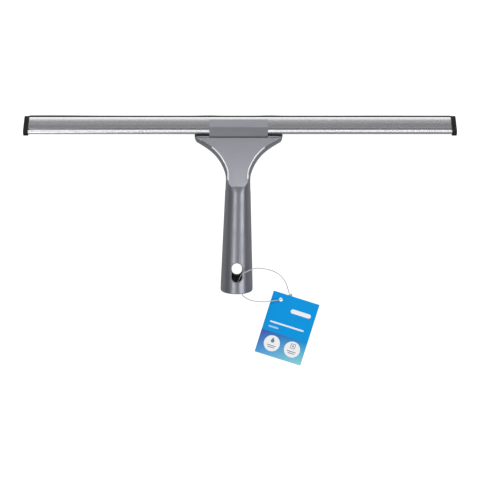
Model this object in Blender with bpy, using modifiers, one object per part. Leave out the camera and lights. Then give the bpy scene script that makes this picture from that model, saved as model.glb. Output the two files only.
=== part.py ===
"""Window cleaning squeegee, lying flat on a table with its rubber lip down.

The aluminium channel runs along X, the handle runs back along -Y, and z = 0 is the table.
Outlines of the head are drawn in (y, z), with y = 0 at HOME_Y behind the row's origin.
"""
from math import atan2, asin, cos, pi, radians, sin, tan

import bmesh
import bpy
from mathutils import Matrix, Vector
from mathutils.geometry import convex_hull_2d

MM = 0.001
HOME_Y = 33.5          # drawing y of the row's origin
GAP = 0.3              # clearance between neighbouring pieces

# Blade assembly, in millimetres
OVERALL_WIDTH = 400.0
CAP_PLATE = 2.0
CAP_SKIRT = 2.2
CHANNEL_LENGTH = OVERALL_WIDTH - 2 * (CAP_PLATE + GAP)
NOSE = Vector((110.2, 12.5))     # centre of the cavity that grips the rubber
NOSE_OUTER_R = 4.1
NOSE_INNER_R = 2.5
FACE_ANGLE = radians(148)        # the flat face rises backwards along this direction
FACE_LENGTH = 11.2
FACE_R = 72.0                    # the face bulges slightly, on this radius
FACE_CURVE = radians(4.5)        # and turns this far each side of its middle
WALL = 1.4
BEAD_R = 2.2
BEAD_ALONG = 13.6                # bead centre, along and below the face
BEAD_BELOW = 1.9
BEAD_BORE_R = 0.9
LIP_ANGLE = radians(-64)         # the rubber leaves the cavity along this direction
SLOT_HALF = 1.15
RUBBER_BEAD_R = 2.2
RUBBER_HALF = 0.85
PIN_R = 0.6
PIN_LENGTH = 6.0
CAP_MARGIN = 1.3

# Handle
HEAD_X = -1.3                    # the clamp grips the channel slightly left of centre
LEAN = 0.0137                    # sideways drift of the handle for each millimetre of y
TUBE_END = Vector((-46.65, 14.25))
TUBE_TILT = radians(14.04)
TUBE_R_END = 15.0
TUBE_R_NECK = 11.65
NECK_BEND_R = 16.0
NECK_CORNER_Y = 50.0
RIM_ROUND = 1.5
SOCKET_R_MOUTH = 12.0
SOCKET_R_DEEP = 10.0
SOCKET_DEPTH = 66.0
SLOT_START = 11.0
SLOT_LENGTH = 19.0
SLOT_R = 5.3
RING_SIDES = 44

# Head: the flat facet and the clamp
GROOVE = Vector((94.1, 24.6))    # lower end of the facet
FACET_SLOPE = 0.5
CREASE_Y = 47.8
WING_HALF = 40.8
WING_GAP_LENGTH = 20.0           # an open gap runs from the front jaw past each wing's end
JAW_HALF = 27.0
JAW_END_Y = 106.5                # the lower jaw ends here, under the channel's face
TONGUE_HALF = 22.0
SCREW_X = 13.0
SCREW_BACK = 3.2                 # screws sit this far up the facet from the groove
SCREW_R = 1.5
SCREW_HEAD_R = 2.7

# Tag and its nylon loop
CARD_WIDTH = 45.0
CARD_HEIGHT = 60.0
CARD_THICK = 0.4
CARD_TURN = radians(-17.5)
CARD_TILT = radians(2.2)
CARD_HOLE = Vector((38.4, -55.9, 2.4))
CARD_HOLE_LEFT = 8.9
CARD_HOLE_TOP = 6.1
CARD_HOLE_R = 1.8
LOOP_R = 0.45
LOCK_CENTRE = Vector((46.9, -52.0, 1.05))
LOCK_SIZE = Vector((4.5, 2.6, 1.8))
LOCK_TURN = radians(22)
LOOP_ROUTE = (
    (46.3, -50.35, 1.1), (45.3, -46.9, 2.0), (44.1, -43.1, 3.5), (42.4, -39.3, 6.5),
    (39.9, -35.5, 9.5), (36.2, -31.9, 14.0), (30.5, -28.7, 19.0), (24.4, -26.9, 24.0),
    (19.3, -26.1, 27.5), (15.0, -25.9, 30.5), (11.0, -26.8, 33.0), (7.3, -28.4, 34.9),
    (4.4, -29.8, 34.7), (1.6, -31.4, 32.2), (0.0, -34.5, 27.0), (-1.5, -37.7, 22.0),
    (-1.7, -41.5, 16.0), (-0.4, -45.5, 10.5), (1.6, -49.9, 8.9), (3.8, -53.0, 8.0),
    (7.5, -55.3, 7.0), (11.7, -56.8, 6.0), (18.8, -57.8, 5.0), (23.5, -57.9, 4.6),
    (26.7, -57.4, 4.5), (30.9, -56.9, 4.4), (34.7, -56.4, 4.2), (37.6, -56.0, 3.7),
    (39.3, -55.3, 2.3), (41.0, -54.4, 1.1), (43.2, -53.5, 0.9), (44.4, -53.0, 1.0),
)

FACE_DIR = Vector((cos(FACE_ANGLE), sin(FACE_ANGLE)))
FACE_NORMAL = Vector((sin(FACE_ANGLE), -cos(FACE_ANGLE)))
TANGENT = NOSE + NOSE_OUTER_R * FACE_NORMAL
BEAD = TANGENT + BEAD_ALONG * FACE_DIR - BEAD_BELOW * FACE_NORMAL
FACET_DIR = Vector((1.0, -FACET_SLOPE)).normalized()
FACET_NORMAL = Vector((FACET_SLOPE, 1.0)).normalized()
LIP_DIR = Vector((cos(LIP_ANGLE), sin(LIP_ANGLE)))
LIP_SIDE = Vector((-LIP_DIR.y, LIP_DIR.x))
# The web is as long as it takes for its lower corner to touch the table.
RUBBER_LENGTH = (NOSE.y - RUBBER_HALF * cos(LIP_ANGLE)) / -LIP_DIR.y


def clear_scene():
    for old in list(bpy.data.objects):
        bpy.data.objects.remove(old)


def new_collection(name):
    collection = bpy.data.collections.new(name)
    bpy.context.scene.collection.children.link(collection)
    return collection


def world(x, y, z):
    """Drawing millimetres to scene metres."""
    return Vector((x, y - HOME_Y, z)) * MM


def material(name, colour, roughness, metallic=0.0):
    finish = bpy.data.materials.new(name)
    finish.use_nodes = True
    shader = finish.node_tree.nodes["Principled BSDF"]
    shader.inputs["Base Color"].default_value = (*colour, 1.0)
    shader.inputs["Roughness"].default_value = roughness
    shader.inputs["Metallic"].default_value = metallic
    return finish


def add_object(name, mesh, matrix=None, finish=None):
    """Link a mesh as a part when it has a finish, and as a cutter when it has none."""
    solid = bpy.data.objects.new(name, mesh)
    if matrix is not None:
        solid.matrix_world = matrix
    if finish is None:
        cutters.objects.link(solid)
        solid.hide_render = True
        solid.display_type = "WIRE"
    else:
        parts.objects.link(solid)
        mesh.materials.clear()
        mesh.materials.append(finish)
    return solid


def close_mesh(mesh):
    shape = bmesh.new()
    shape.from_mesh(mesh)
    bmesh.ops.remove_doubles(shape, verts=shape.verts, dist=1e-6)
    bmesh.ops.recalc_face_normals(shape, faces=shape.faces)
    shape.to_mesh(mesh)
    shape.free()


def curve_mesh(curve):
    """The closed mesh that a curve's fill or bevel makes."""
    holder = bpy.data.objects.new("Outline", curve)
    bpy.context.scene.collection.objects.link(holder)
    graph = bpy.context.evaluated_depsgraph_get()
    mesh = bpy.data.meshes.new_from_object(holder.evaluated_get(graph))
    bpy.data.objects.remove(holder)
    close_mesh(mesh)
    return mesh


def plate_mesh(outlines, thickness):
    """A flat outline, with any holes, extruded evenly about its own plane."""
    curve = bpy.data.curves.new("Outline", "CURVE")
    curve.dimensions = "2D"
    curve.fill_mode = "BOTH"
    curve.extrude = thickness * MM / 2
    for outline in outlines:
        spline = curve.splines.new("POLY")
        spline.points.add(len(outline) - 1)
        for point, place in zip(spline.points, outline):
            point.co = (place[0] * MM, place[1] * MM, 0.0, 1.0)
        spline.use_cyclic_u = True
    return curve_mesh(curve)


def along_x(x):
    """Turns an outline drawn in (y, z) so that its thickness runs along X."""
    turn = Matrix(((0, 0, 1), (1, 0, 0), (0, 1, 0))).to_4x4()
    return Matrix.Translation(world(x, 0.0, 0.0)) @ turn


def facet_frame(x, along, height):
    """Local x is X, local y points down the facet and local z out of it."""
    place = GROOVE + along * FACET_DIR + height * FACET_NORMAL
    turn = Matrix((
        (1, 0, 0),
        (0, FACET_DIR.x, FACET_NORMAL.x),
        (0, FACET_DIR.y, FACET_NORMAL.y),
    ))
    return Matrix.Translation(world(x, place.x, place.y)) @ turn.to_4x4()


def facet_point(along, height):
    return GROOVE + along * FACET_DIR + height * FACET_NORMAL


def box_mesh(size_x, size_y, size_z):
    mesh = bpy.data.meshes.new("Box")
    shape = bmesh.new()
    bmesh.ops.create_cube(shape, size=1.0)
    bmesh.ops.scale(shape, vec=Vector((size_x, size_y, size_z)) * MM, verts=shape.verts)
    shape.to_mesh(mesh)
    shape.free()
    return mesh


def cone_mesh(r_bottom, r_top, depth, sides):
    """A cylinder or cone whose local z runs from its base at 0 up to its depth."""
    mesh = bpy.data.meshes.new("Cone")
    shape = bmesh.new()
    lift = Matrix.Translation((0, 0, depth * MM / 2))
    bmesh.ops.create_cone(shape, cap_ends=True, segments=sides, radius1=r_bottom * MM,
                          radius2=r_top * MM, depth=depth * MM, matrix=lift)
    shape.to_mesh(mesh)
    shape.free()
    return mesh


def boolean(solid, other, operation="DIFFERENCE"):
    change = solid.modifiers.new(other.name, "BOOLEAN")
    change.operation = operation
    change.solver = "EXACT"
    change.object = other


def shade(solid, angle=32):
    solid.data.shade_smooth()
    solid.data.set_sharp_from_angle(angle=radians(angle))


def arc(centre, radius, start, end, steps):
    """Points from one angle to the other, both ends included."""
    return [
        centre + radius * Vector((cos(start + (end - start) * i / steps),
                                  sin(start + (end - start) * i / steps)))
        for i in range(steps + 1)
    ]


def blade_profile(grow, open_slot):
    """Outline of the aluminium extrusion, grown by a clearance where that is asked."""
    outer = NOSE_OUTER_R + grow
    bead_r = BEAD_R + grow
    face_middle = FACE_ANGLE - pi / 2
    face_start = face_middle - FACE_CURVE
    face_r = FACE_R + grow
    face_centre = NOSE - (FACE_R - NOSE_OUTER_R) * Vector((cos(face_start), sin(face_start)))
    under = WALL + grow
    # Where the underside meets the nose, and where it and the face meet the bead.
    nose_side = face_middle + (pi / 2 - asin((NOSE_OUTER_R - under) / outer))
    bead_under = asin((BEAD_BELOW - under) / bead_r)
    bead_face = asin(min(1.0, (BEAD_BELOW + grow) / bead_r))
    lip_turn = asin(SLOT_HALF / outer) if open_slot else 0.0
    outline = arc(NOSE, outer, LIP_ANGLE + lip_turn, face_start, 14)
    outline += arc(face_centre, face_r, face_start, face_middle + FACE_CURVE, 8)[1:]
    if open_slot:
        groove_at = TANGENT + FACE_LENGTH * FACE_DIR
        outline.append(groove_at + 0.25 * FACE_DIR - 0.6 * FACE_NORMAL)
        outline.append(groove_at + 0.55 * FACE_DIR - 0.6 * FACE_NORMAL)
    # Bead angles are measured from the direction that points down the face.
    down_face = FACE_ANGLE - pi
    outline += arc(BEAD, bead_r, down_face + bead_face, down_face + 2 * pi + bead_under, 18)
    if open_slot:
        outline += arc(NOSE, outer, nose_side, LIP_ANGLE + 2 * pi - lip_turn, 14)
        inner_turn = asin(SLOT_HALF / NOSE_INNER_R)
        outline += arc(NOSE, NOSE_INNER_R, LIP_ANGLE + 2 * pi - inner_turn,
                       LIP_ANGLE + inner_turn, 20)
    else:
        outline += arc(NOSE, outer, nose_side, LIP_ANGLE + 2 * pi, 14)[:-1]
    return outline


def make_channel():
    bore = arc(BEAD, BEAD_BORE_R, 0, 2 * pi, 14)[:-1]
    mesh = plate_mesh([blade_profile(0.0, True), bore], CHANNEL_LENGTH)
    channel = add_object("channel", mesh, along_x(0.0), ALUMINIUM)
    shade(channel)
    return channel


def rubber_outline(grow, length):
    """A round bead in the cavity and a flat web that leaves through the slot."""
    half = RUBBER_HALF + grow
    bead_r = RUBBER_BEAD_R + grow
    turn = asin(half / bead_r)
    outline = arc(NOSE, bead_r, LIP_ANGLE + turn, LIP_ANGLE + 2 * pi - turn, 18)
    tip = NOSE + length * LIP_DIR
    return outline + [tip - half * LIP_SIDE, tip + half * LIP_SIDE]


def make_rubber():
    mesh = plate_mesh([rubber_outline(0.0, RUBBER_LENGTH)], CHANNEL_LENGTH - GAP)
    shade(add_object("rubber_blade", mesh, along_x(0.0), RUBBER))


def make_end_cap(name, side):
    """A closed end plate, a skirt round the channel's end and a pin in its bead."""
    depth = CAP_PLATE + CAP_SKIRT
    corners = arc(NOSE, NOSE_OUTER_R + CAP_MARGIN, 0, 2 * pi, 28)
    corners += arc(BEAD, BEAD_R + CAP_MARGIN, 0, 2 * pi, 28)
    corners += arc(NOSE + 11.2 * LIP_DIR, 1.3, 0, 2 * pi, 16)
    hull = [corners[i] for i in convex_hull_2d(corners)]
    middle = side * (OVERALL_WIDTH - depth) / 2
    cap = add_object(name, plate_mesh([hull], depth), along_x(middle), BLACK_PLASTIC)

    pocket_x = side * (OVERALL_WIDTH / 2 - CAP_PLATE - CAP_SKIRT)
    for label, outline in (("channel", blade_profile(GAP, False)),
                           ("rubber", rubber_outline(GAP, RUBBER_LENGTH + 4))):
        pocket = plate_mesh([outline], 2 * CAP_SKIRT)
        boolean(cap, add_object(f"{name}_{label}_pocket", pocket, along_x(pocket_x)))

    inner_wall = side * (OVERALL_WIDTH / 2 - CAP_PLATE + 0.5)
    pin = cone_mesh(PIN_R, PIN_R * 0.8, PIN_LENGTH, 12)
    turn = Matrix.Rotation(-side * pi / 2, 4, "Y")
    place = Matrix.Translation(world(inner_wall, BEAD.x, BEAD.y)) @ turn
    boolean(cap, add_object(f"{name}_pin", pin, place), "UNION")
    shade(cap)


def make_front_jaw():
    """Clamp plate over the channel, with a tongue that the screws hold in the head."""
    mid_face = 0.7
    plate_tip = Vector((111.6, 16.9))
    leg_front = 3.8
    outline = [
        facet_point(-6.2, -5.0), facet_point(leg_front, -5.0), facet_point(leg_front, -0.6),
        BEAD, TANGENT + FACE_LENGTH * FACE_DIR - mid_face * FACE_NORMAL,
        TANGENT + 1.6 * FACE_DIR - mid_face * FACE_NORMAL,
        plate_tip, Vector((111.8, 17.6)), Vector((111.2, 18.6)),
        Vector((105.0, 25.2)), Vector((104.5, 25.75)), Vector((103.8, 26.0)),
        Vector((96.3, 25.15)), Vector((95.7, 24.7)), facet_point(0.9, -0.3),
        facet_point(0.35, -0.8), facet_point(0.35, -2.0), facet_point(-6.2, -2.0),
    ]
    jaw = add_object("front_jaw", plate_mesh([outline], 2 * JAW_HALF), along_x(HEAD_X), SILVER)
    boolean(jaw, channel_space)
    for side in (-1, 1):
        trim_width = JAW_HALF - TONGUE_HALF + 1.0
        trim = box_mesh(trim_width, 12.0, 8.0)
        x = HEAD_X + side * (TONGUE_HALF + trim_width / 2)
        boolean(jaw, add_object("Tongue_trim", trim, facet_frame(x, -5.66, -4.0)))
        hole = cone_mesh(SCREW_R + GAP, SCREW_R + GAP, 9.0, 20)
        x = HEAD_X + side * SCREW_X
        boolean(jaw, add_object("Screw_hole", hole, facet_frame(x, -SCREW_BACK, -10.5)))
    shade(jaw)


def superellipse(half_width, half_thick, power):
    """Closed ring of (across, up) pairs."""
    ring = []
    for i in range(RING_SIDES):
        angle = 2 * pi * i / RING_SIDES
        across = abs(cos(angle)) ** (2 / power) * (1 if cos(angle) >= 0 else -1)
        up = abs(sin(angle)) ** (2 / power) * (1 if sin(angle) >= 0 else -1)
        ring.append((half_width * across, half_thick * up))
    return ring


def smooth_between(stations, y):
    """Values at y from stations of (y, values...), eased between neighbours."""
    for low, high in zip(stations, stations[1:]):
        if y <= high[0]:
            part = (y - low[0]) / (high[0] - low[0])
            return [a + (b - a) * part for a, b in zip(low[1:], high[1:])]
    return list(stations[-1][1:])


def handle_sections():
    """Centre (y, z), direction, half width, half thickness and power along the handle."""
    direction = Vector((cos(TUBE_TILT), sin(TUBE_TILT)))
    corner = TUBE_END + direction * ((NECK_CORNER_Y - TUBE_END.x) / direction.x)
    shoulder = Vector((92.0, 20.7))
    fall = shoulder - corner
    fall_angle = atan2(fall.y, fall.x)
    tangent = NECK_BEND_R * tan((TUBE_TILT - fall_angle) / 2)
    neck = (corner - TUBE_END).length - tangent
    sections = [
        (TUBE_END, TUBE_TILT, TUBE_R_END - RIM_ROUND, TUBE_R_END - RIM_ROUND, 2.0),
        (TUBE_END + direction * RIM_ROUND * 0.13, TUBE_TILT, TUBE_R_END - RIM_ROUND * 0.5,
         TUBE_R_END - RIM_ROUND * 0.5, 2.0),
        (TUBE_END + direction * RIM_ROUND * 0.5, TUBE_TILT, TUBE_R_END - RIM_ROUND * 0.13,
         TUBE_R_END - RIM_ROUND * 0.13, 2.0),
        (TUBE_END + direction * RIM_ROUND * 1.3, TUBE_TILT, TUBE_R_END, TUBE_R_END, 2.0),
    ]
    for part in (0.34, 0.67, 1.0):
        radius = TUBE_R_END + (TUBE_R_NECK - TUBE_R_END) * part
        sections.append((TUBE_END + direction * neck * part, TUBE_TILT, radius, radius, 2.0))

    stations = (
        (38.0, TUBE_R_NECK, 11.5, 2.0), (44.0, 11.5, 11.4, 2.0), (47.8, 11.4, 11.2, 2.3),
        (50.5, 11.3, 10.8, 2.6), (54.0, 11.2, 10.2, 2.7), (58.0, 11.3, 9.4, 2.7),
        (61.0, 11.8, 8.9, 2.8), (66.5, 13.6, 8.7, 3.0), (72.2, 16.4, 8.35, 3.3),
        (75.0, 18.3, 8.15, 3.5), (78.0, 20.4, 7.9, 3.8), (80.8, 23.0, 7.6, 4.0),
        (83.6, 26.2, 7.2, 4.2), (86.4, 30.0, 6.7, 4.5), (89.2, 34.6, 6.2, 4.8),
        (92.0, 39.3, 5.6, 5.0), (94.5, 40.7, 5.0, 5.0),
        (97.0, WING_HALF, 4.4, 5.0), (101.5, WING_HALF, 3.5, 5.0),
        (JAW_END_Y, WING_HALF - 0.4, 2.5, 5.0),
    )
    centre = corner - direction * tangent + NECK_BEND_R * Vector((direction.y, -direction.x))
    for step in range(1, 8):
        angle = TUBE_TILT + (fall_angle - TUBE_TILT) * step / 7
        place = centre + NECK_BEND_R * Vector((-sin(angle), cos(angle)))
        sections.append((place, angle, *smooth_between(stations, place.x)))
    y = sections[-1][0].x + 2.5
    while y < 92.0:
        place = corner + fall * ((y - corner.x) / fall.x)
        sections.append((place, fall_angle, *smooth_between(stations, y)))
        y += 2.4
    jaw_end = Vector((JAW_END_Y, 13.9))
    for y in (92.0, 94.0, 96.0, 98.5, 101.5, 104.5, JAW_END_Y):
        place = shoulder + (jaw_end - shoulder) * ((y - shoulder.x) / (jaw_end.x - shoulder.x))
        sections.append((place, fall_angle, *smooth_between(stations, y)))
    return sections


def handle_x(y):
    return HEAD_X + LEAN * min(0.0, y - 92.0)


def make_handle():
    """One moulding: tube, neck, flared head and the jaw under the channel."""
    shape = bmesh.new()
    rings = []
    for place, angle, half_width, half_thick, power in handle_sections():
        up = Vector((-sin(angle), cos(angle)))
        ring = []
        for across, height in superellipse(half_width, half_thick, power):
            point = place + up * height
            ring.append(shape.verts.new(world(handle_x(place.x) + across, point.x, point.y)))
        rings.append(ring)
    for ring, following in zip(rings, rings[1:]):
        for i, vertex in enumerate(ring):
            j = (i + 1) % len(ring)
            shape.faces.new((vertex, ring[j], following[j], following[i]))
    shape.faces.new(rings[0])
    shape.faces.new(rings[-1])
    bmesh.ops.recalc_face_normals(shape, faces=shape.faces)
    mesh = bpy.data.meshes.new("handle_body")
    shape.to_mesh(mesh)
    shape.free()
    handle = add_object("handle_body", mesh, None, SILVER)

    cut_facet(handle)
    boolean(handle, channel_space)
    cut_clamp_pocket(handle)
    cut_socket(handle)
    cut_hang_slot(handle)
    shade(handle, 40)


def cut_facet(handle):
    up_slope = (GROOVE.x - CREASE_Y) / FACET_DIR.x
    beyond = 24.0
    block = box_mesh(2 * WING_HALF + 20, up_slope + beyond, 30.0)
    middle = facet_frame(HEAD_X, (beyond - up_slope) / 2, 15.0)
    boolean(handle, add_object("Facet_cut", block, middle))
    for side in (-1, 1):
        x = HEAD_X + side * (WING_HALF - 7.2)
        panel = box_mesh(9.0, 3.0, 1.2)
        boolean(handle, add_object("Wing_panel_cut", panel, facet_frame(x, -0.8, 0.0)))
        x = HEAD_X + side * (JAW_HALF + WING_GAP_LENGTH / 2)
        gap = box_mesh(WING_GAP_LENGTH, 3.0, 8.0)
        boolean(handle, add_object("Wing_gap_cut", gap, facet_frame(x, 3.4, -1.5)))


def cut_clamp_pocket(handle):
    """Room for the front jaw's leg and tongue, and for the two screws."""
    tongue = box_mesh(2 * (TONGUE_HALF + GAP), 13.0, 3.0 + 2 * GAP)
    boolean(handle, add_object("Tongue_space", tongue, facet_frame(HEAD_X, 0.0, -3.5)))
    leg = box_mesh(2 * (JAW_HALF + GAP), 10.0, 6.2)
    boolean(handle, add_object("Leg_space", leg, facet_frame(HEAD_X, 5.0, -2.4)))
    for side in (-1, 1):
        x = HEAD_X + side * SCREW_X
        hole = cone_mesh(SCREW_R + GAP, SCREW_R + GAP, 9.0, 20)
        boolean(handle, add_object("Shank_hole", hole, facet_frame(x, -SCREW_BACK, -10.5)))
        recess = cone_mesh(SCREW_HEAD_R + GAP, SCREW_HEAD_R + GAP, 8.0, 24)
        boolean(handle, add_object("Head_recess", recess, facet_frame(x, -SCREW_BACK, -15.0)))


def tube_frame(along):
    """Local z runs up the tube, local x across it and local y towards its back."""
    axis = Vector((LEAN * cos(TUBE_TILT), cos(TUBE_TILT), sin(TUBE_TILT))).normalized()
    across = Vector((1, 0, 0)) - axis * axis.x
    across.normalize()
    back = axis.cross(across)
    turn = Matrix((across, back, axis)).transposed()
    end = world(handle_x(TUBE_END.x), TUBE_END.x, TUBE_END.y)
    return Matrix.Translation(end + axis * along * MM) @ turn.to_4x4()


def cut_socket(handle):
    lead = 2.0
    grade = (SOCKET_R_MOUTH - SOCKET_R_DEEP) / SOCKET_DEPTH
    socket = cone_mesh(SOCKET_R_MOUTH + grade * lead, SOCKET_R_DEEP, SOCKET_DEPTH + lead, 36)
    boolean(handle, add_object("Pole_socket", socket, tube_frame(-lead)))


def cut_hang_slot(handle):
    half_run = SLOT_LENGTH / 2 - SLOT_R
    outline = arc(Vector((0, half_run)), SLOT_R, 0, pi, 14)
    outline += arc(Vector((0, -half_run)), SLOT_R, pi, 2 * pi, 14)
    slot = plate_mesh([outline], 60.0)
    face_back = Matrix.Rotation(pi / 2, 4, "X")
    place = tube_frame(SLOT_START + SLOT_LENGTH / 2) @ face_back
    boolean(handle, add_object("Hang_slot", slot, place))


def make_screw(name, side):
    """Pan-head screw with a cross recess, its head in the back of the handle."""
    under_head = 7.4
    shank = 4.8
    profile = (
        (0.0, 0.0), (SCREW_R * 0.6, 0.0), (SCREW_R, -0.7), (SCREW_R, -shank),
        (SCREW_HEAD_R, -shank), (SCREW_HEAD_R, -shank - 0.8), (SCREW_HEAD_R * 0.82, -shank - 1.4),
        (SCREW_HEAD_R * 0.45, -shank - 1.65), (0.0, -shank - 1.7),
    )
    mesh = bpy.data.meshes.new(name)
    shape = bmesh.new()
    line = [shape.verts.new((radius * MM, 0, height * MM)) for radius, height in profile]
    for start, end in zip(line, line[1:]):
        shape.edges.new((start, end))
    shape.to_mesh(mesh)
    shape.free()
    place = facet_frame(HEAD_X + side * SCREW_X, -SCREW_BACK, -under_head + shank)
    screw = add_object(name, mesh, place, STEEL)
    turned = screw.modifiers.new("Turned", "SCREW")
    turned.axis = "Z"
    turned.steps = turned.render_steps = 24
    turned.use_merge_vertices = True
    turned.merge_threshold = 0.00001
    for turn in (0, pi / 2):
        blade = box_mesh(0.7, 3.0, 2.0)
        spot = place @ Matrix.Translation((0, 0, (-shank - 1.9) * MM)) @ Matrix.Rotation(turn, 4, "Z")
        boolean(screw, add_object(f"{name}_recess", blade, spot))
    shade(screw)


def rounded_rectangle(left, right, bottom, top, radius):
    outline = []
    corners = ((right, top, 0), (left, top, 1), (left, bottom, 2), (right, bottom, 3))
    for x, y, quarter in corners:
        inner = Vector((x - radius if x == right else x + radius,
                        y - radius if y == top else y + radius))
        outline += arc(inner, radius, quarter * pi / 2, (quarter + 1) * pi / 2, 4)
    return outline


def make_tag():
    outline = rounded_rectangle(-CARD_HOLE_LEFT, CARD_WIDTH - CARD_HOLE_LEFT,
                                CARD_HOLE_TOP - CARD_HEIGHT, CARD_HOLE_TOP, 0.6)
    hole = arc(Vector((0, 0)), CARD_HOLE_R, 0, 2 * pi, 20)[:-1]
    place = Matrix.Translation(world(*CARD_HOLE)) @ Matrix.Rotation(CARD_TURN, 4, "Z")
    place = place @ Matrix.Rotation(CARD_TILT, 4, "X")
    add_object("tag_card", plate_mesh([outline, hole], CARD_THICK), place, CARD)


def make_lock():
    mesh = box_mesh(*LOCK_SIZE)
    place = Matrix.Translation(world(*LOCK_CENTRE)) @ Matrix.Rotation(LOCK_TURN, 4, "Z")
    lock = add_object("tag_lock", mesh, place, NYLON)
    rounding = lock.modifiers.new("Rounded", "BEVEL")
    rounding.width = 0.4 * MM
    rounding.segments = 2
    shade(lock)


def smooth_route(points, spacing):
    """Points about one spacing apart on a smooth curve through the given ones."""
    ends = [points[0], *points, points[-1]]
    route = [points[0]]
    for before, start, end, after in zip(ends, ends[1:], ends[2:], ends[3:]):
        steps = max(1, round((end - start).length / spacing))
        for i in range(1, steps + 1):
            t = i / steps
            route.append(0.5 * (2 * start + (end - before) * t
                                + (2 * before - 5 * start + 4 * end - after) * t * t
                                + (3 * start - before - 3 * end + after) * t ** 3))
    return route


def make_loop():
    """The nylon loop: from its lock through the hanging slot and the card, and back."""
    route = smooth_route([world(*point) for point in LOOP_ROUTE], 2.2 * MM)
    curve = bpy.data.curves.new("tag_loop", "CURVE")
    curve.dimensions = "3D"
    curve.bevel_depth = LOOP_R * MM
    curve.bevel_resolution = 2
    curve.use_fill_caps = True
    spline = curve.splines.new("POLY")
    spline.points.add(len(route) - 1)
    for point, place in zip(spline.points, route):
        point.co = (*place, 1.0)
    loop = add_object("tag_loop", curve_mesh(curve), None, NYLON)
    shade(loop, 60)


clear_scene()
parts = new_collection("window_squeegee")
cutters = new_collection("cutters")

ALUMINIUM = material("satin_aluminium", (0.62, 0.63, 0.64), 0.32, 1.0)
SILVER = material("silver_plastic", (0.30, 0.31, 0.33), 0.36, 0.55)
BLACK_PLASTIC = material("black_plastic", (0.02, 0.02, 0.02), 0.45)
RUBBER = material("black_rubber", (0.015, 0.015, 0.015), 0.6)
STEEL = material("zinc_steel", (0.55, 0.56, 0.58), 0.3, 1.0)
CARD = material("printed_card", (0.05, 0.36, 0.72), 0.5)
NYLON = material("clear_nylon", (0.8, 0.8, 0.8), 0.25)

channel_space = add_object("Channel_space", plate_mesh([blade_profile(GAP, False)], 120.0), along_x(0.0))
make_handle()
make_front_jaw()
make_screw("clamp_screw_left", -1)
make_screw("clamp_screw_right", 1)
make_channel()
make_rubber()
make_end_cap("end_cap_left", -1)
make_end_cap("end_cap_right", 1)
make_tag()
make_lock()
make_loop()
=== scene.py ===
"""Looks of the window squeegee: a silver handle, a satin aluminium channel, a black
rubber blade and a printed tag on a clear nylon loop.

Sizes are in millimetres, in the drawing that the CAD was made from. Its y = 0 is HOME_Y
millimetres behind the frame's origin, on the handle's side.
"""
from math import asin, cos, exp, pi, radians, sin

import bmesh
import bpy
from mathutils import Matrix, Vector

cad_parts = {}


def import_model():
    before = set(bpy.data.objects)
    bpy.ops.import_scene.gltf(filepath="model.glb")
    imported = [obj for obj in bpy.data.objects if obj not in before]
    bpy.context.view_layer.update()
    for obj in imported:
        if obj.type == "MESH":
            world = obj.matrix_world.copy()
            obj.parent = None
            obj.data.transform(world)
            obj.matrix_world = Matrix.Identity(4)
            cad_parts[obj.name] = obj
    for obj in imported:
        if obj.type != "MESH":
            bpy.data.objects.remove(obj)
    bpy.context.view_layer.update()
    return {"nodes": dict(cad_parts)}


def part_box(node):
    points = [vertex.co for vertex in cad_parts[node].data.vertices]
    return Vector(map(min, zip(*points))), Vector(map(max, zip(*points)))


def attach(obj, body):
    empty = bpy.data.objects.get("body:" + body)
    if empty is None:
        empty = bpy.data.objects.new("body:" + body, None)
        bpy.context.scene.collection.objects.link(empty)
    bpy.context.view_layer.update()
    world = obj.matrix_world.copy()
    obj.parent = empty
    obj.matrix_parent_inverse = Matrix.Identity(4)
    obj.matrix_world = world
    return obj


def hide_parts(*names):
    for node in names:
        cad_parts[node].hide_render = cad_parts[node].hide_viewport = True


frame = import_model()
scene = bpy.context.scene

MM = 0.001
HOME_Y = 33.5
WELD = 2e-6                      # metres within which a CAD mesh's points are one
COPLANAR = radians(0.7)
SMOOTH_BELOW = 34                # degrees
MIX_A, MIX_B, MIX_OUT = 6, 7, 2  # a Mix node's colour sockets

CAMERA_HEIGHT = 1220.0
CAMERA_LENS = 97.3

# Tube and its pole socket
HEAD_X = -1.3
LEAN = 0.0137
LEAN_FROM_Y = 92.0
TUBE_END = Vector((-46.65, 14.25))
TUBE_TILT = radians(14.04)
SOCKET_R_MOUTH = 12.0
SOCKET_R_DEEP = 10.0
SOCKET_DEPTH = 66.0
TUBE_R_END = 15.0
TUBE_R_NECK = 11.65
TUBE_LENGTH = 94.3               # from the mouth to where the neck bends
SOCKET_SKIN = 0.35               # how far off the socket's wall a face still belongs to it
MOUTH_EDGE = 0.4                 # what stays silver at the mouth

# Hanging slot through the tube, and the soft rims round its ends
SLOT_START = 11.0
SLOT_LENGTH = 19.0
SLOT_R = 5.3
RIM_R = 0.55
RIM_SINK = 0.35

# Rounded edges of the head's flat facet, which carry a painted highlight
FACET_SLOPE = 0.5
ON_FACET = 0.9995                # cosines that tell the facet from its flanks
OFF_FACET = 0.97
CREST_R = 0.9
CREST_SINK = 0.85
CREST_FROM_Y = 0.0185            # in the frame's metres, as is the next
CREST_TO_Y = 0.0585

# Painted shade: a darker bottom of the groove between the channel's face and its bead, in y and z
GROOVE_SHADE_BOX = ((101.4, 20.8), (103.3, 22.4))

# Rubber
NOSE = Vector((110.2, 12.5))
LIP_ANGLE = radians(-64)
RUBBER_BEAD_R = 2.2
RUBBER_HALF = 0.85               # half the lip's thickness
RUBBER_STATIONS = 220
WEB_STEPS = 8

# Waves along the rubber's edge: middle, width and rise
LIP_WAVES = ((-29.0, 9.0, 0.25), (28.0, 9.0, 0.25), (-180.0, 40.0, 0.35), (131.0, 24.0, 0.1))

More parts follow.
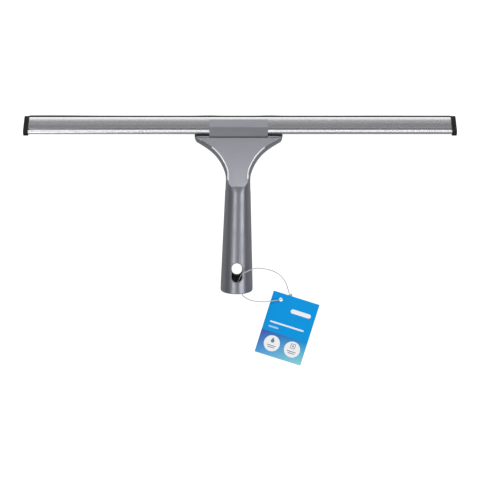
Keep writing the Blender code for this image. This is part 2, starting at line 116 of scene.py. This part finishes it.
# Tag: its card, and the print on it, placed from the card's lower left corner
CARD_WIDTH = 45.0
CARD_HEIGHT = 60.0
CARD_THICK = 0.4
CARD_TURN = radians(-17.5)
CARD_TILT = radians(2.2)
CARD_HOLE = Vector((38.4, -55.9, 2.4))
CARD_HOLE_LEFT = 8.9
CARD_HOLE_TOP = 6.1
CARD_HOLE_R = 1.8
BAND_HEIGHT = 22.5
INK = 0.03
INK_GAP = 0.005
OVERPRINT = 1.2                  # layers of ink under what is printed on a disc
DISC_R = 7.6
DISCS = ((13.2, 12.1), (33.0, 12.1))
DISC_LINES = (("a", -2.4, 8.6), ("b", -4.1, 6.4))
DROP = Vector((13.2, 15.0))
PANE = Vector((33.0, 15.3))

# Loop and its lock
LOOP_R = 0.45
LOCK_CENTRE = Vector((46.9, -52.0, 1.05))
LOCK_SIZE = Vector((4.5, 2.6, 1.8))
LOCK_TURN = radians(22)
LOCK_WAIST_WIDTH = 0.78          # shares of the lock's full width and height
LOCK_WAIST_HEIGHT = 0.86
LOOP_ROUTE = (
    (46.3, -50.35, 1.1), (45.3, -46.9, 2.0), (44.1, -43.1, 3.5), (42.4, -39.3, 6.5),
    (39.9, -35.5, 9.5), (36.2, -31.9, 14.0), (30.5, -28.7, 19.0), (24.4, -26.9, 24.0),
    (19.3, -26.1, 27.5), (15.0, -25.9, 30.5), (11.0, -26.8, 33.0), (7.3, -28.4, 34.9),
    (4.4, -29.8, 34.7), (1.6, -31.4, 32.2), (0.0, -34.5, 27.0), (-1.5, -37.7, 22.0),
    (-1.7, -41.5, 16.0), (-0.4, -45.5, 10.5), (1.6, -49.9, 8.9), (3.8, -53.0, 8.0),
    (7.5, -55.3, 7.0), (11.7, -56.8, 6.0), (18.8, -57.8, 5.0), (23.5, -57.9, 4.6),
    (26.7, -57.4, 4.5), (30.9, -56.9, 4.4), (34.7, -56.4, 4.2), (37.6, -56.0, 3.7),
    (39.3, -55.3, 2.3), (41.0, -54.4, 1.1), (43.2, -53.5, 0.9), (44.4, -53.0, 1.0),
)
ROUTE_STEP = 0.8                 # between the points of the smooth route


def world(x, y, z):
    """Drawing millimetres to scene metres."""
    return Vector((x, y - HOME_Y, z)) * MM


def srgb(red, green, blue):
    """A colour from its 0 to 255 screen values."""
    def linear(value):
        share = value / 255
        return share / 12.92 if share <= 0.04045 else ((share + 0.055) / 1.055) ** 2.4
    return (linear(red), linear(green), linear(blue), 1.0)


# ---------------------------------------------------------------- camera, light, floor

def make_camera():
    """Above the squeegee, looking straight down."""
    data = bpy.data.cameras.new("Camera")
    data.lens = CAMERA_LENS
    data.clip_end = 20.0
    camera = bpy.data.objects.new("Camera", data)
    camera.location = world(0.0, 0.0, CAMERA_HEIGHT)
    scene.collection.objects.link(camera)
    scene.camera = camera


def area_light(name, place, size_x, size_y, power, colour=(1.0, 1.0, 1.0)):
    """A softbox at a place in metres, facing the squeegee, its second side towards +Y."""
    data = bpy.data.lights.new(name, "AREA")
    data.shape = "RECTANGLE"
    data.size = size_x
    data.size_y = size_y
    data.energy = power
    data.color = colour
    back = (Vector(place) - Vector((0.0, 0.0, 0.02))).normalized()
    across = Vector((0.0, 1.0, 0.0)).cross(back).normalized()
    turn = Matrix((across, back.cross(across), back)).transposed()
    light = bpy.data.objects.new(name, data)
    light.matrix_world = Matrix.Translation(place) @ turn.to_4x4()
    scene.collection.objects.link(light)


def make_backdrop():
    """White to the camera; a grey sky that gets brighter upwards to everything else."""
    world_data = bpy.data.worlds.new("Studio")
    world_data.use_nodes = True
    tree = world_data.node_tree
    direction = tree.nodes.new("ShaderNodeTexCoord")
    split = tree.nodes.new("ShaderNodeSeparateXYZ")
    sky = tree.nodes.new("ShaderNodeValToRGB")
    sky.color_ramp.elements[0].color = (0.16, 0.16, 0.17, 1)
    sky.color_ramp.elements[1].color = (0.54, 0.54, 0.55, 1)
    sky.color_ramp.elements.new(0.72).color = (0.27, 0.27, 0.28, 1)
    tree.links.new(direction.outputs["Generated"], split.inputs[0])
    tree.links.new(split.outputs["Z"], sky.inputs[0])
    seen = tree.nodes.new("ShaderNodeMix")
    seen.data_type = "RGBA"
    seen.inputs[MIX_B].default_value = (1, 1, 1, 1)
    tree.links.new(tree.nodes.new("ShaderNodeLightPath").outputs["Is Camera Ray"], seen.inputs[0])
    tree.links.new(sky.outputs[0], seen.inputs[MIX_A])
    tree.links.new(seen.outputs[MIX_OUT], tree.nodes["Background"].inputs["Color"])
    scene.world = world_data


def make_lights():
    """Two large softboxes on the handle's side, and two narrow ones beyond the blade."""
    area_light("Left_softbox", (-1.35, -1.85, 2.9), 1.45, 2.7, 30.0)
    area_light("Right_softbox", (2.4, -1.85, 2.7), 1.75, 2.7, 44.0, (0.95, 0.97, 1.0))
    area_light("Far_softbox", (0.0, 0.42, 0.44), 1.5, 0.2, 2.7)
    area_light("Low_softbox", (0.0, 1.3, 0.16), 3.0, 0.28, 3.0)


def floor_glow(nodes, links):
    """Evenly white to the camera; in reflections brighter beyond the blade than before it."""
    split = nodes.new("ShaderNodeSeparateXYZ")
    links.new(nodes.new("ShaderNodeTexCoord").outputs["Object"], split.inputs[0])
    glow = nodes.new("ShaderNodeFloatCurve")
    curve = glow.mapping.curves[0]
    curve.points[0].location = (0.0, 0.2)
    curve.points[1].location = (1.0, 0.4)
    for y, strength in ((0.045, 0.2), (0.088, 0.95), (0.15, 0.95), (0.3, 0.4)):
        curve.points.new(y, strength)
    glow.mapping.extend = "HORIZONTAL"
    glow.mapping.update()
    links.new(split.outputs["Y"], glow.inputs["Value"])
    seen = nodes.new("ShaderNodeMix")
    seen.inputs["B"].default_value = 0.95
    links.new(nodes.new("ShaderNodeLightPath").outputs["Is Camera Ray"], seen.inputs["Factor"])
    links.new(glow.outputs["Value"], seen.inputs["A"])
    return seen.outputs["Result"]


def make_floor():
    """A plain pale floor, a hair below the squeegee."""
    bpy.ops.mesh.primitive_plane_add(size=8.0, location=(0, 0, -0.0004))
    floor = bpy.context.object
    floor.name = "Floor"
    finish = bpy.data.materials.new("Floor")
    finish.use_nodes = True
    tree = finish.node_tree
    shader = tree.nodes["Principled BSDF"]
    shader.inputs["Base Color"].default_value = (0.3, 0.3, 0.3, 1)
    shader.inputs["Roughness"].default_value = 0.9
    shader.inputs["Specular IOR Level"].default_value = 0.0
    shader.inputs["Emission Color"].default_value = (1, 1, 1, 1)
    tree.links.new(floor_glow(tree.nodes, tree.links), shader.inputs["Emission Strength"])
    finish.cycles.emission_sampling = "NONE"
    floor.data.materials.append(finish)


# ---------------------------------------------------------------- materials

class Finish:
    """A Principled material and the few node links that its surface needs."""

    def __init__(self, name, **sockets):
        self.material = bpy.data.materials.new(name)
        self.material.use_nodes = True
        self.tree = self.material.node_tree
        self.shader = self.tree.nodes["Principled BSDF"]
        for socket, value in sockets.items():
            self.shader.inputs[socket.replace("_", " ")].default_value = value

    def node(self, kind, inputs=(), **settings):
        """A new node; inputs are (socket, value or the output that feeds it)."""
        node = self.tree.nodes.new(kind)
        for setting, value in settings.items():
            setattr(node, setting, value)
        for socket, value in inputs:
            if isinstance(value, bpy.types.NodeSocket):
                self.tree.links.new(value, node.inputs[socket])
            else:
                node.inputs[socket].default_value = value
        return node

    def feed(self, socket, output):
        self.tree.links.new(output, self.shader.inputs[socket])

    def noise(self, scale, detail=3.0, stretch=(1, 1, 1)):
        coordinates = self.node("ShaderNodeTexCoord").outputs["Object"]
        mapped = self.node("ShaderNodeMapping", [("Vector", coordinates), ("Scale", stretch)])
        return self.node("ShaderNodeTexNoise", [
            ("Vector", mapped.outputs[0]), ("Scale", scale), ("Detail", detail),
        ]).outputs["Fac"]

    def spread(self, value, low, high, start=0.3, stop=0.7):
        """Maps a noise value to a range."""
        return self.node("ShaderNodeMapRange", [
            ("Value", value), ("From Min", start), ("From Max", stop),
            ("To Min", low), ("To Max", high),
        ]).outputs["Result"]

    def blend(self, share, first, second):
        mix = self.node("ShaderNodeMix", [(0, share)], data_type="RGBA")
        for index, value in ((MIX_A, first), (MIX_B, second)):
            if isinstance(value, bpy.types.NodeSocket):
                self.tree.links.new(value, mix.inputs[index])
            else:
                mix.inputs[index].default_value = value
        return mix.outputs[MIX_OUT]

    def bump(self, height, strength, distance):
        bump = self.node("ShaderNodeBump", [
            ("Height", height), ("Strength", strength), ("Distance", distance),
        ])
        self.feed("Normal", bump.outputs["Normal"])


def silver_finish(name, low, high, worn):
    """Silver lacquer: fine flakes, a little orange peel, uneven gloss."""
    finish = Finish(name, Metallic=0.85, Coat_Weight=0.12, Coat_Roughness=0.2)
    flakes = finish.noise(3200.0, 2.0)
    clouds = finish.noise(45.0, 4.0)
    shade = finish.blend(finish.spread(flakes, 0.0, 1.0), low, high)
    shade = finish.blend(finish.spread(clouds, 0.0, 0.25), shade, worn)
    finish.feed("Base Color", shade)
    finish.feed("Roughness", finish.spread(clouds, 0.31, 0.41))
    finish.bump(finish.noise(900.0, 3.0), 0.06, 0.0002)
    return finish.material


def aluminium_finish(name, low, high):
    """Satin anodised extrusion with fine die lines along its length."""
    finish = Finish(name, Metallic=1.0)
    lines = finish.noise(1.0, 4.0, (1.5, 2600.0, 2600.0))
    broad = finish.noise(1.0, 3.0, (1.0, 260.0, 260.0))
    finish.feed("Base Color", finish.blend(finish.spread(lines, 0.0, 1.0), low, high))
    finish.feed("Roughness", finish.spread(broad, 0.17, 0.25))
    finish.bump(lines, 0.03, 0.0001)
    return finish.material


def black_plastic_finish():
    finish = Finish("black_moulding", Specular_IOR_Level=0.22)
    grain = finish.noise(1800.0, 3.0)
    finish.feed("Base Color", finish.blend(
        finish.spread(grain, 0.0, 1.0), srgb(12, 12, 13), srgb(22, 22, 23)))
    finish.feed("Roughness", finish.spread(finish.noise(200.0), 0.38, 0.52))
    finish.bump(grain, 0.25, 0.0001)
    return finish.material


def rubber_finish():
    finish = Finish("black_rubber_lip", Specular_IOR_Level=0.15)
    dust = finish.noise(320.0, 5.0, (0.25, 1, 1))
    finish.feed("Base Color", finish.blend(
        finish.spread(dust, 0.0, 1.0, 0.45, 0.8), srgb(10, 10, 11), srgb(26, 26, 27)))
    finish.feed("Roughness", finish.spread(dust, 0.5, 0.68))
    finish.bump(finish.noise(1500.0, 2.0), 0.1, 0.0001)
    return finish.material


def steel_finish():
    finish = Finish("zinc_plate", Metallic=1.0)
    patches = finish.noise(700.0, 4.0)
    finish.feed("Base Color", finish.blend(
        finish.spread(patches, 0.0, 1.0), srgb(176, 178, 176), srgb(204, 205, 200)))
    finish.feed("Roughness", finish.spread(patches, 0.22, 0.4))
    finish.bump(patches, 0.08, 0.0001)
    return finish.material


def nylon_finish(name):
    finish = Finish(name, Base_Color=srgb(222, 223, 226), IOR=1.53, Transmission_Weight=0.35)
    haze = finish.noise(900.0, 2.0)
    finish.feed("Roughness", finish.spread(haze, 0.12, 0.25))
    finish.bump(haze, 0.05, 0.0001)
    return finish.material


def card_finish():
    """Coated card: a blue field over a band from violet and blue to aqua; its back is white."""
    finish = Finish("printed_card_face", Roughness=0.55, Specular_IOR_Level=0.12)
    place = finish.node("ShaderNodeTexCoord").outputs["Object"]
    parts = finish.node("ShaderNodeSeparateXYZ", [("Vector", place)])
    left = -CARD_HOLE_LEFT * MM
    bottom = (CARD_HOLE_TOP - CARD_HEIGHT) * MM
    band_top = bottom + BAND_HEIGHT * MM
    across = finish.spread(parts.outputs["X"], 0.0, 1.0, left, left + CARD_WIDTH * MM)
    up = finish.spread(parts.outputs["Y"], 0.0, 1.0, bottom, band_top)
    top_edge = finish.blend(across, srgb(74, 88, 178), srgb(0, 152, 216))
    low_edge = finish.blend(across, srgb(76, 166, 232), srgb(150, 226, 230))
    band = finish.blend(up, low_edge, top_edge)
    in_field = finish.spread(parts.outputs["Y"], 0.0, 1.0, band_top - 0.0002, band_top + 0.0002)
    face = finish.blend(in_field, band, srgb(0, 158, 234))
    on_front = finish.spread(parts.outputs["Z"], 0.0, 1.0, 0.0, 0.0001)
    fibre = finish.noise(1400.0, 4.0)
    back = finish.blend(finish.spread(fibre, 0.0, 1.0), srgb(228, 229, 230), srgb(242, 242, 240))
    finish.feed("Base Color", finish.blend(on_front, back, face))
    finish.bump(fibre, 0.04, 0.0001)
    return finish.material


def ink_finish(name, colour):
    """Printed ink that the card's fibres make slightly uneven."""
    finish = Finish(name, Roughness=0.45)
    fibre = finish.noise(1400.0, 4.0)
    paler = tuple(min(1.0, value * 1.08) for value in colour[:3]) + (1.0,)
    finish.feed("Base Color", finish.blend(finish.spread(fibre, 0.0, 1.0), colour, paler))
    return finish.material


# ---------------------------------------------------------------- mesh helpers

def link_mesh(name, mesh, finish, matrix=None):
    piece = bpy.data.objects.new(name, mesh)
    if matrix is not None:
        piece.matrix_world = matrix
    mesh.materials.clear()
    mesh.materials.append(finish)
    scene.collection.objects.link(piece)
    return piece


def apply_modifiers(piece):
    """Makes what the modifiers do the piece's own mesh."""
    graph = bpy.context.evaluated_depsgraph_get()
    mesh = bpy.data.meshes.new_from_object(piece.evaluated_get(graph))
    piece.modifiers.clear()
    piece.data = mesh


def smooth(piece, angle):
    """Smooth shading, with a sharp edge wherever faces meet at more than the angle."""
    piece.data.shade_smooth()
    piece.data.set_sharp_from_angle(angle=radians(angle))


def refined(node, name, finish, width, segments=2, angle=32):
    """A copy of a CAD node with its edges rounded, which stands for that node."""
    mesh = frame["nodes"][node].data.copy()
    shape = bmesh.new()
    shape.from_mesh(mesh)
    bmesh.ops.remove_doubles(shape, verts=shape.verts, dist=WELD)
    bmesh.ops.dissolve_limit(
        shape, angle_limit=COPLANAR, verts=shape.verts, edges=shape.edges)
    shape.to_mesh(mesh)
    shape.free()
    piece = link_mesh(name, mesh, finish)
    rounding = piece.modifiers.new("Rounded", "BEVEL")
    rounding.width = width * MM
    rounding.segments = segments
    rounding.limit_method = "ANGLE"
    rounding.angle_limit = radians(angle)
    rounding.use_clamp_overlap = True
    apply_modifiers(piece)
    smooth(piece, SMOOTH_BELOW)
    flat = piece.modifiers.new("Flat_faces", "WEIGHTED_NORMAL")
    flat.keep_sharp = True
    apply_modifiers(piece)
    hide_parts(node)
    return piece


def settle(piece, body):
    """Puts a piece on its body."""
    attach(piece, body)


def arc(centre, radius, start, end, steps):
    """Points on an arc, both ends included."""
    return [
        centre + radius * Vector((cos(start + (end - start) * i / steps),
                                  sin(start + (end - start) * i / steps)))
        for i in range(steps + 1)
    ]


# ---------------------------------------------------------------- handle and clamp

def tube_axis():
    """A point on the tube's axis at its mouth, and the direction up the tube."""
    end = world(HEAD_X + LEAN * (TUBE_END.x - LEAN_FROM_Y), TUBE_END.x, TUBE_END.y)
    axis = Vector((LEAN * cos(TUBE_TILT), cos(TUBE_TILT), sin(TUBE_TILT)))
    return end, axis.normalized()


def make_handle():
    """Silver outside; the bare black moulding shows inside the pole socket."""
    handle = refined("handle_body", "handle_shell", SILVER, 0.45, 3)
    handle.data.materials.append(BLACK)
    end, axis = tube_axis()
    for face in handle.data.polygons:
        offset = face.center - end
        along = offset.dot(axis)
        share = along / (SOCKET_DEPTH * MM)
        radius = (SOCKET_R_MOUTH + (SOCKET_R_DEEP - SOCKET_R_MOUTH) * share) * MM
        inside = (offset - axis * along).length < radius + SOCKET_SKIN * MM
        if inside and MOUTH_EDGE * MM < along < (SOCKET_DEPTH + 1) * MM:
            face.material_index = 1
    settle(handle, "handle")


def raised_line(name, points, radius, finish, closed=False):
    """A rounded ridge along some points in metres; an open one tapers at its ends."""
    curve = bpy.data.curves.new(name, "CURVE")
    curve.dimensions = "3D"
    curve.bevel_depth = radius * MM
    curve.bevel_resolution = 3
    curve.use_fill_caps = True
    spline = curve.splines.new("POLY")
    spline.points.add(len(points) - 1)
    for i, (point, place) in enumerate(zip(spline.points, points)):
        point.co = (*place, 1.0)
        if not closed:
            point.radius = min(1.0, 0.5 + 0.2 * min(i, len(points) - 1 - i))
    spline.use_cyclic_u = closed
    settle(link_curve(name, curve, finish), "handle")


def make_crests():
    """The rounded edges on both sides of the flat facet, in a pale silver that is a painted
    highlight.
    """
    facet = Vector((0.0, FACET_SLOPE, 1.0)).normalized()
    shape = bmesh.new()
    shape.from_mesh(frame["nodes"]["handle_body"].data)
    bmesh.ops.remove_doubles(shape, verts=shape.verts, dist=WELD)
    lines = {"left": {}, "right": {}}
    for edge in shape.edges:
        if len(edge.link_faces) != 2:
            continue
        flat, flank = sorted(edge.link_faces, key=lambda face: -face.normal.dot(facet))
        bounds_facet = flat.normal.dot(facet) > ON_FACET and flank.normal.dot(facet) < OFF_FACET
        in_reach = CREST_FROM_Y < edge.verts[0].co.y < CREST_TO_Y
        if bounds_facet and in_reach and abs(flank.normal.x) > 0.3:
            inward = (facet + flank.normal).normalized() * CREST_SINK * MM
            for vertex in edge.verts:
                side = "left" if vertex.co.x < HEAD_X * MM else "right"
                lines[side][round(vertex.co.y, 4)] = vertex.co - inward
    shape.free()
    for side, places in lines.items():
        points = [places[y] for y in sorted(places)]
        # their pale silver is a painted highlight
        raised_line(f"head_crest_{side}", points, CREST_R, PAINTED_HIGHLIGHT_SILVER)


def make_slot_rims():
    """A soft rim round both ends of the hanging slot."""
    end, axis = tube_axis()
    across = (Vector((1, 0, 0)) - axis * axis.x).normalized()
    back = axis.cross(across)
    half_run = SLOT_LENGTH / 2 - SLOT_R
    outline = arc(Vector((0, half_run)), SLOT_R, 0, pi, 16)
    outline += arc(Vector((0, -half_run)), SLOT_R, pi, 2 * pi, 16)
    for name, side in (("slot_rim_top", 1), ("slot_rim_under", -1)):
        points = []
        for place in outline:
            along = SLOT_START + SLOT_LENGTH / 2 + place.y
            radius = TUBE_R_END - (TUBE_R_END - TUBE_R_NECK) * along / TUBE_LENGTH - RIM_SINK
            up = side * (radius ** 2 - place.x ** 2) ** 0.5
            points.append(end + (across * place.x + axis * along + back * up) * MM)
        raised_line(name, points, RIM_R, SILVER, closed=True)


def make_clamp():
    """The jaw over the channel and its two screws."""
    settle(refined("front_jaw", "front_jaw_shell", SILVER, 0.35, 2), "handle")
    for side in ("left", "right"):
        screw = refined(f"clamp_screw_{side}", f"pan_screw_{side}", STEEL, 0.12, 2, 40)
        settle(screw, f"screw_{side}")


# ---------------------------------------------------------------- blade

def rubber_section():
    """Bead and web, with the web's share of the way to the tip for each point."""
    turn = asin(RUBBER_HALF / RUBBER_BEAD_R)
    outline = arc(NOSE, RUBBER_BEAD_R, LIP_ANGLE + turn, LIP_ANGLE + 2 * pi - turn, 26)
    lip = Vector((cos(LIP_ANGLE), sin(LIP_ANGLE)))
    side = Vector((-lip.y, lip.x))
    length = (NOSE.y - RUBBER_HALF * cos(LIP_ANGLE)) / -lip.y
    start = RUBBER_BEAD_R * cos(turn)
    section = [(point, 0.0) for point in outline]
    shares = [i / WEB_STEPS for i in range(1, WEB_STEPS + 1)]
    for share in shares:
        section.append((NOSE + lip * (start + (length - start) * share) - side * RUBBER_HALF, share))
    for share in reversed(shares):
        section.append((NOSE + lip * (start + (length - start) * share) + side * RUBBER_HALF, share))
    return section


def lip_bow(x):
    """How far the edge of the lip waves towards +Y."""
    return sum(rise * exp(-((x - middle) / width) ** 2) for middle, width, rise in LIP_WAVES)


def make_rubber():
    """The rubber, with its edge slightly uneven along its length."""
    low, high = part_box("rubber_blade")
    section = rubber_section()
    shape = bmesh.new()
    rings = []
    for i in range(RUBBER_STATIONS + 1):
        x = (low[0] + (high[0] - low[0]) * i / RUBBER_STATIONS) / MM
        rings.append([
            shape.verts.new(world(x, point.x + lip_bow(x) * share ** 1.6, point.y))
            for point, share in section
        ])
    for ring, following in zip(rings, rings[1:]):
        for j, vertex in enumerate(ring):
            k = (j + 1) % len(ring)
            shape.faces.new((vertex, ring[k], following[k], following[j]))
    shape.faces.new(rings[0])
    shape.faces.new(rings[-1])
    bmesh.ops.recalc_face_normals(shape, faces=shape.faces)
    mesh = bpy.data.meshes.new("rubber_lip")
    shape.to_mesh(mesh)
    shape.free()
    rubber = link_mesh("rubber_lip", mesh, RUBBER)
    smooth(rubber, 40)
    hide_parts("rubber_blade")
    settle(rubber, "blade")


def make_blade():
    """The channel with painted shade in its groove, the rubber in it and the caps on its ends."""
    channel = refined("channel", "channel_extrusion", ALUMINIUM, 0.12, 2)
    channel.data.materials.append(PAINTED_SHADE_ALUMINIUM)
    low, high = (world(0.0, *corner) for corner in GROOVE_SHADE_BOX)
    # faces in the groove get the darker aluminium, which is painted shade
    for face in channel.data.polygons:
        centre = face.center
        if low.y < centre.y < high.y and low.z < centre.z < high.z and abs(face.normal.x) < 0.5:
            face.material_index = 1
    settle(channel, "blade")
    make_rubber()
    for side in ("left", "right"):
        cap = refined(f"end_cap_{side}", f"channel_cap_{side}", BLACK, 0.4, 3)
        settle(cap, f"cap_{side}")


# ---------------------------------------------------------------- tag

def card_matrix():
    """Local x runs across the card and y up it; the origin is the middle of its hole."""
    place = Matrix.Translation(world(*CARD_HOLE)) @ Matrix.Rotation(CARD_TURN, 4, "Z")
    return place @ Matrix.Rotation(CARD_TILT, 4, "X")


def rounded_rectangle(left, right, bottom, top, radius, steps=6):
    """Its outline, with so many steps round each corner."""
    outline = []
    corners = ((right, top, 0), (left, top, 1), (left, bottom, 2), (right, bottom, 3))
    for x, y, quarter in corners:
        inner = Vector((x - radius if x == right else x + radius,
                        y - radius if y == top else y + radius))
        outline += arc(inner, radius, quarter * pi / 2, (quarter + 1) * pi / 2, steps)
    return outline


def square(centre, half, radius):
    """A rounded square's outline, from its middle and half its side."""
    return rounded_rectangle(
        centre.x - half, centre.x + half, centre.y - half, centre.y + half, radius, 4)


def flat_piece(name, outlines, thickness, lift, finish, edge=0.0):
    """A flat outline on the card, extruded, its middle lifted off the card's own middle."""
    curve = bpy.data.curves.new(name, "CURVE")
    curve.dimensions = "2D"
    curve.fill_mode = "BOTH"
    curve.extrude = thickness * MM / 2 - edge * MM
    curve.bevel_depth = edge * MM
    curve.bevel_resolution = 1
    for outline in outlines:
        spline = curve.splines.new("POLY")
        spline.points.add(len(outline) - 1)
        for point, place in zip(spline.points, outline):
            point.co = (place[0] * MM, place[1] * MM, 0.0, 1.0)
        spline.use_cyclic_u = True
    matrix = card_matrix() @ Matrix.Translation((0, 0, lift * MM))
    piece = link_curve(name, curve, finish, matrix)
    settle(piece, "tag")
    return piece


def link_curve(name, curve, finish, matrix=None):
    """A mesh object made from a curve."""
    holder = bpy.data.objects.new("Outline", curve)
    scene.collection.objects.link(holder)
    graph = bpy.context.evaluated_depsgraph_get()
    mesh = bpy.data.meshes.new_from_object(holder.evaluated_get(graph))
    bpy.data.objects.remove(holder)
    shape = bmesh.new()
    shape.from_mesh(mesh)
    bmesh.ops.remove_doubles(shape, verts=shape.verts, dist=1e-6)
    bmesh.ops.recalc_face_normals(shape, faces=shape.faces)
    shape.to_mesh(mesh)
    shape.free()
    piece = link_mesh(name, mesh, finish, matrix)
    smooth(piece, 40)
    return piece


def print_shape(name, outlines, finish, layers=0.0):
    """A patch of ink on the card's face, raised by so many layers of ink."""
    lift = CARD_THICK / 2 + INK / 2 + INK_GAP + INK * layers
    flat_piece(name, outlines, INK, lift, finish)


def print_bar(name, x, y, width, height, finish, layers=0.0):
    """A bar with round ends, its lower left corner at x, y."""
    left = x - CARD_HOLE_LEFT
    bottom = y + CARD_HOLE_TOP - CARD_HEIGHT
    shape = rounded_rectangle(left, left + width, bottom, bottom + height, height * 0.45, 4)
    print_shape(name, [shape], finish, layers)


def print_disc(number, x, y, corner):
    """A white disc with two grey lines in its lower half."""
    disc = arc(corner + Vector((x, y)), DISC_R, 0, 2 * pi, 48)[:-1]
    print_shape(f"print_disc_{number}", [disc], WHITE_INK)
    for letter, rise, width in DISC_LINES:
        print_bar(f"print_disc_{number}_line_{letter}", x - width / 2, y + rise, width, 0.7,
                  GREY_INK, OVERPRINT)


def make_card():
    """The card, and plain bars and discs where it carries words and marks."""
    corner = Vector((-CARD_HOLE_LEFT, CARD_HOLE_TOP - CARD_HEIGHT))
    outline = rounded_rectangle(
        corner.x, corner.x + CARD_WIDTH, corner.y, CARD_HOLE_TOP, 0.6)
    hole = arc(Vector((0, 0)), CARD_HOLE_R, 0, 2 * pi, 32)[:-1]
    card = flat_piece("tag_board", [outline, hole], CARD_THICK, 0.0, CARD, 0.05)
    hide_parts("tag_card")

    print_bar("print_bar_top", 21.0, 44.6, 19.5, 4.0, WHITE_INK)
    print_bar("print_bar_title", 5.2, 31.0, 33.0, 1.5, WHITE_INK)
    print_bar("print_bar_size", 5.2, 26.4, 9.6, 1.5, PALE_INK)
    for number, (x, y) in enumerate(DISCS, 1):
        print_disc(number, x, y, corner)
    drop = corner + DROP
    shape = arc(drop - Vector((0, 0.5)), 1.7, radians(-215), radians(35), 20)
    shape.append(drop + Vector((0, 3.0)))
    print_shape("print_drop", [shape], GREY_INK, OVERPRINT)
    pane = corner + PANE
    squares = [square(pane, 2.3, 0.6), square(pane, 1.8, 0.3)]
    print_shape("print_pane", squares, GREY_INK, OVERPRINT)
    spot = arc(pane, 0.8, 0, 2 * pi, 20)[:-1]
    print_shape("print_spot", [spot], GREY_INK, OVERPRINT)


def make_lock():
    """The loop's moulded lock: a rounded block that is a little narrower at its waist."""
    matrix = Matrix.Translation(world(*LOCK_CENTRE)) @ Matrix.Rotation(LOCK_TURN, 4, "Z")
    mesh = bpy.data.meshes.new("loop_lock")
    shape = bmesh.new()
    bmesh.ops.create_cube(shape, size=1.0)
    bmesh.ops.scale(shape, vec=LOCK_SIZE * MM, verts=shape.verts)
    bmesh.ops.subdivide_edges(shape, edges=shape.edges, cuts=5, use_grid_fill=True)
    half_length = LOCK_SIZE.x * MM / 2
    for vertex in shape.verts:
        share = abs(vertex.co.x) / half_length
        vertex.co.y *= LOCK_WAIST_WIDTH + (1 - LOCK_WAIST_WIDTH) * share ** 2
        vertex.co.z *= LOCK_WAIST_HEIGHT + (1 - LOCK_WAIST_HEIGHT) * share ** 2
    shape.to_mesh(mesh)
    shape.free()
    lock = link_mesh("loop_lock", mesh, NYLON, matrix)
    rounding = lock.modifiers.new("Rounded", "BEVEL")
    rounding.width = 0.35 * MM
    rounding.segments = 3
    rounding.limit_method = "ANGLE"
    rounding.angle_limit = radians(50)
    apply_modifiers(lock)
    smooth(lock, 50)
    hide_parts("tag_lock")
    settle(lock, "handle")
    return lock


def smooth_route(points, spacing):
    """Points about one spacing apart on a smooth curve through the given ones."""
    ends = [points[0], *points, points[-1]]
    route = [points[0]]
    for before, start, end, after in zip(ends, ends[1:], ends[2:], ends[3:]):
        steps = max(1, round((end - start).length / spacing))
        for i in range(1, steps + 1):
            t = i / steps
            route.append(0.5 * (2 * start + (end - before) * t
                                + (2 * before - 5 * start + 4 * end - after) * t * t
                                + (3 * start - before - 3 * end + after) * t ** 3))
    return route


def make_loop():
    """The nylon loop along its route, from the lock through the slot and the card's hole."""
    route = smooth_route([world(*point) for point in LOOP_ROUTE], ROUTE_STEP * MM)
    curve = bpy.data.curves.new("nylon_loop", "CURVE")
    curve.dimensions = "3D"
    curve.bevel_depth = LOOP_R * MM
    curve.bevel_resolution = 4
    curve.use_fill_caps = True
    spline = curve.splines.new("POLY")
    spline.points.add(len(route) - 1)
    for point, place in zip(spline.points, route):
        point.co = (*place, 1.0)
    spline.use_smooth = True
    loop = bpy.data.objects.new("nylon_loop", curve)
    curve.materials.append(NYLON_LINE)
    scene.collection.objects.link(loop)
    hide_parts("tag_loop")
    settle(loop, "handle")


make_camera()
scene.view_settings.view_transform = "Standard"
make_backdrop()
make_lights()
make_floor()

SILVER = silver_finish(
    "silver_lacquer", srgb(134, 135, 141), srgb(152, 153, 159), srgb(126, 127, 133))
# A pale silver that is a painted highlight, so the facet's crests stay bright at any angle
PAINTED_HIGHLIGHT_SILVER = silver_finish(
    "painted_highlight_silver", srgb(222, 223, 228), srgb(240, 241, 244), srgb(206, 207, 212))
ALUMINIUM = aluminium_finish(
    "anodised_aluminium", srgb(216, 217, 218), srgb(232, 232, 234))
# A darker aluminium that paints the groove's shade
PAINTED_SHADE_ALUMINIUM = aluminium_finish(
    "groove_painted_shade", srgb(118, 118, 120), srgb(140, 140, 142))
BLACK = black_plastic_finish()
RUBBER = rubber_finish()
STEEL = steel_finish()
NYLON = nylon_finish("clear_nylon_moulding")
NYLON_LINE = nylon_finish("clear_nylon_line")
CARD = card_finish()
WHITE_INK = ink_finish("white_ink", srgb(252, 253, 254))
PALE_INK = ink_finish("pale_ink", srgb(176, 214, 240))
GREY_INK = ink_finish("grey_ink", srgb(112, 124, 146))

make_card()
loop_lock = make_lock()
make_loop()
make_handle()
make_crests()
make_slot_rims()
make_clamp()
make_blade()
